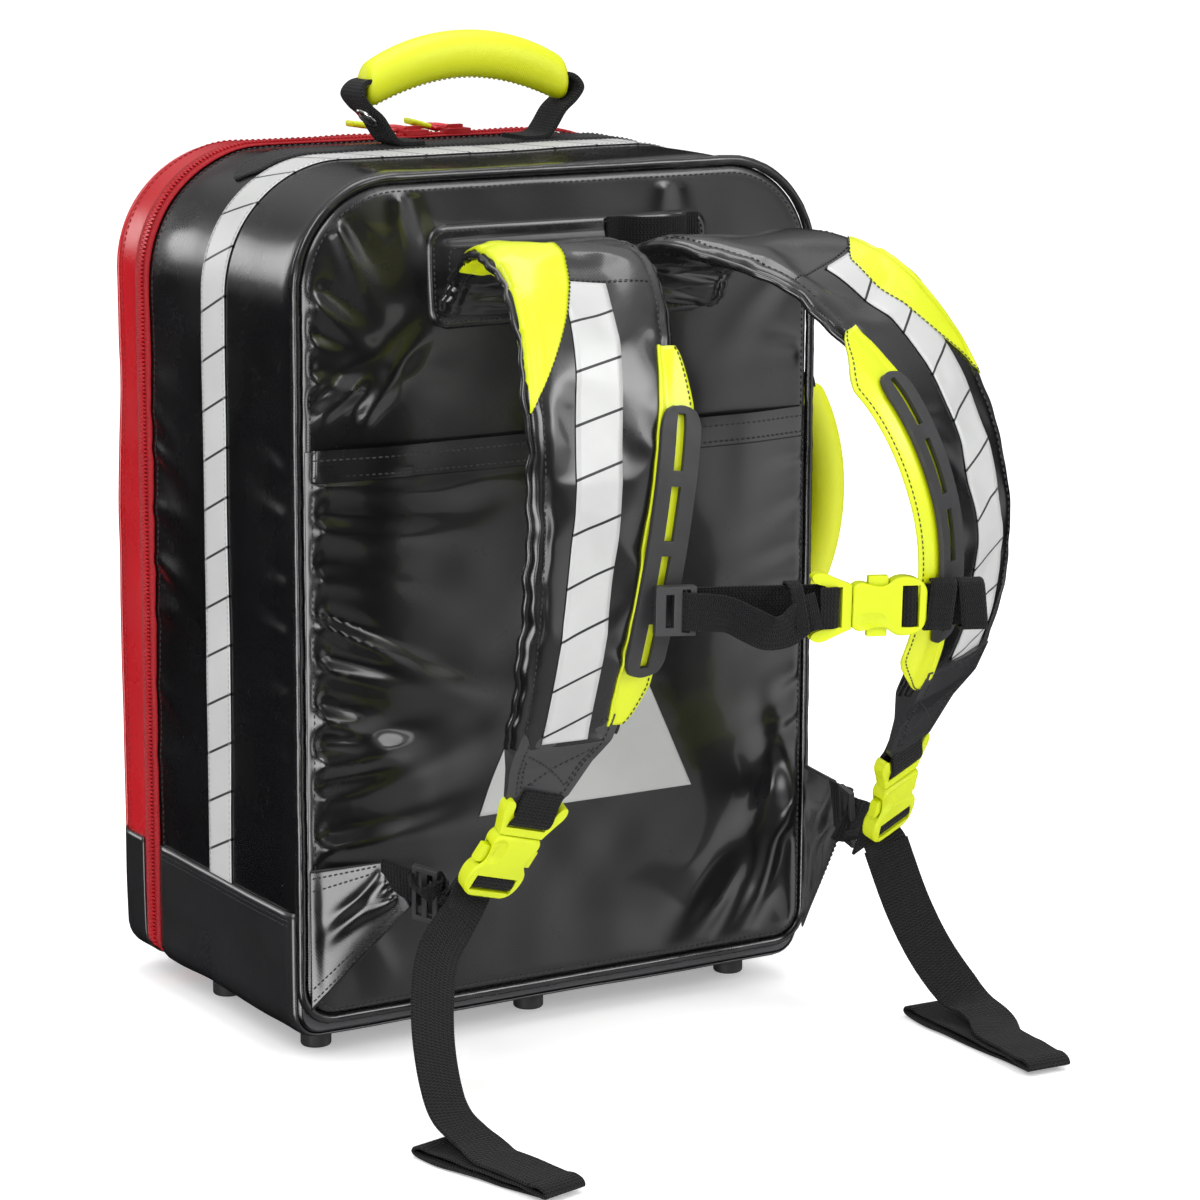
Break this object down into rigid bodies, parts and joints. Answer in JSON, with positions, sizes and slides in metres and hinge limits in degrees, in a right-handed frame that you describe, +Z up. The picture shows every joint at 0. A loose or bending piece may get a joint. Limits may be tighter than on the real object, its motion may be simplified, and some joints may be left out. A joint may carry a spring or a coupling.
{
  "type": "trauma backpack",
  "caption": "Rigid-sided zipped rescue backpack with hinged lid, padded shoulder straps, chest strap, webbing handles and side-release buckles.",
  "frame": {"origin": "on the ground under the middle of the pack, straps and side handle included, with the pack standing on its feet", "axes": "+Z up; +Y from the wearer's side towards the lid; +X across the pack, towards the side handle"},
  "size_m": [0.3806, 0.4488, 0.5105],
  "materials": {
    "tarpaulin_black": "glossy coated fabric with a fine weave",
    "board": "stiff sheet",
    "tarpaulin_band": "satin coated fabric",
    "reflective": "retroreflective film",
    "zip_red": "zip tape with coil teeth",
    "rubber_grey": "matte",
    "piping": "glossy coated piping",
    "webbing_black": "ribbed webbing",
    "tarpaulin_red": "glossy coated fabric",
    "lining": "woven lining",
    "slider_red": "painted",
    "plastic_lime": "satin moulded",
    "snap_metal": "polished",
    "strap_black": "glossy coated fabric over foam",
    "fabric_lime": "coated fabric",
    "plastic_grey": "matte moulded"
  },
  "bodies": {
    "pack": {"shell_walls": "tarpaulin_black", "back_stiffener": "board", "bottom_board": "board", "base_band": "tarpaulin_band", "reflective_stripe_body": "reflective", "zip_tape_body": "zip_red", "rubber_feet": "rubber_grey", "back_panel": "tarpaulin_black", "panel_piping": "piping", "back_pocket": "tarpaulin_black", "reflective_patch": "reflective", "strap_anchor_plate": "tarpaulin_black", "haul_loop": "webbing_black", "handle_base_strip": "webbing_black", "shoulder_pad_left": "strap_black", "shoulder_pad_right": "strap_black", "shoulder_stripe_left": "reflective", "shoulder_stripe_right": "reflective", "shoulder_accents": "fabric_lime", "inner_wings": "fabric_lime", "ladder_plate_left": "rubber_grey", "ladder_plate_right": "rubber_grey", "strap_end_flap_left": "strap_black", "strap_end_flap_right": "strap_black", "buckle_female_left": "plastic_lime", "buckle_male_left": "plastic_lime", "buckle_female_right": "plastic_lime", "buckle_male_right": "plastic_lime", "chest_buckle_female_clip": "plastic_lime", "chest_buckle_male_clip": "plastic_lime", "lower_wing_left": "tarpaulin_band", "lower_wing_right": "tarpaulin_band", "lower_webbings": "webbing_black", "tri_glides": "plastic_grey", "strap_tail_left": "webbing_black", "strap_tail_right": "webbing_black", "strap_fold_left": "webbing_black", "strap_fold_right": "webbing_black", "chest_hook": "plastic_grey", "chest_webbing_left": "webbing_black", "chest_webbing_right": "webbing_black"},
    "lid": {"lid_shell": "tarpaulin_red", "lid_band": "tarpaulin_band", "zip_tape_lid": "zip_red", "lid_pocket": "lining"},
    "zip_slider_a": {"zip_slider_a": "slider_red", "slider_pull_a": "plastic_lime"},
    "zip_slider_b": {"zip_slider_b": "slider_red", "slider_pull_b": "plastic_lime"},
    "carry_handle": {"carry_handle_grip": "plastic_lime", "carry_handle_webbing": "webbing_black", "handle_snap": "snap_metal"},
    "side_handle": {"side_handle_grip": "plastic_lime", "side_handle_webbing": "webbing_black"},
    "buckle_prong_low_left": {"buckle_prong_low_left": "plastic_lime"},
    "buckle_prong_high_left": {"buckle_prong_high_left": "plastic_lime"},
    "buckle_prong_low_right": {"buckle_prong_low_right": "plastic_lime"},
    "buckle_prong_high_right": {"buckle_prong_high_right": "plastic_lime"},
    "chest_buckle_prong_low_clip": {"chest_buckle_prong_low_clip": "plastic_lime"},
    "chest_buckle_prong_high_clip": {"chest_buckle_prong_high_clip": "plastic_lime"}
  },
  "joints": [
    {"name": "lid_hinge", "type": "hinge", "parent": "pack", "child": "lid", "pos_m": [-0.029, 0.1604, 0.014], "axis": [-1, 0, 0], "range_deg": [0, 60]},
    {"name": "zip_slider_a_travel", "type": "slide", "parent": "pack", "child": "zip_slider_a", "axis": [-1, 0, 0], "range_m": [0, 0.055]},
    {"name": "zip_slider_b_travel", "type": "slide", "parent": "pack", "child": "zip_slider_b", "axis": [1, 0, 0], "range_m": [0, 0.05]},
    {"name": "carry_handle_tilt", "type": "hinge", "parent": "pack", "child": "carry_handle", "pos_m": [-0.029, 0.1054, 0.4659], "axis": [1, 0, 0], "range_deg": [-65, 65]},
    {"name": "side_handle_tilt", "type": "hinge", "parent": "pack", "child": "side_handle", "pos_m": [0.1389, 0.0464, 0.258], "axis": [0, 0, 1], "range_deg": [-65, 65]},
    {"name": "buckle_prong_low_left_squeeze", "type": "slide", "parent": "pack", "child": "buckle_prong_low_left", "axis": [0.9518, 0.1397, -0.273], "range_m": [0, 0.0025], "stiffness_N_per_m": 400},
    {"name": "buckle_prong_high_left_squeeze", "type": "slide", "parent": "pack", "child": "buckle_prong_high_left", "axis": [-0.9518, -0.1397, 0.273], "range_m": [0, 0.0025], "stiffness_N_per_m": 400},
    {"name": "buckle_prong_low_right_squeeze", "type": "slide", "parent": "pack", "child": "buckle_prong_low_right", "axis": [0.926, 0.2575, 0.2761], "range_m": [0, 0.0025], "stiffness_N_per_m": 400},
    {"name": "buckle_prong_high_right_squeeze", "type": "slide", "parent": "pack", "child": "buckle_prong_high_right", "axis": [-0.926, -0.2575, -0.2761], "range_m": [0, 0.0025], "stiffness_N_per_m": 400},
    {"name": "chest_buckle_prong_low_clip_squeeze", "type": "slide", "parent": "pack", "child": "chest_buckle_prong_low_clip", "axis": [0.0169, -0.0056, 0.9998], "range_m": [0, 0.0025], "stiffness_N_per_m": 400},
    {"name": "chest_buckle_prong_high_clip_squeeze", "type": "slide", "parent": "pack", "child": "chest_buckle_prong_high_clip", "axis": [-0.0169, 0.0056, -0.9998], "range_m": [0, 0.0025], "stiffness_N_per_m": 400}
  ]
}
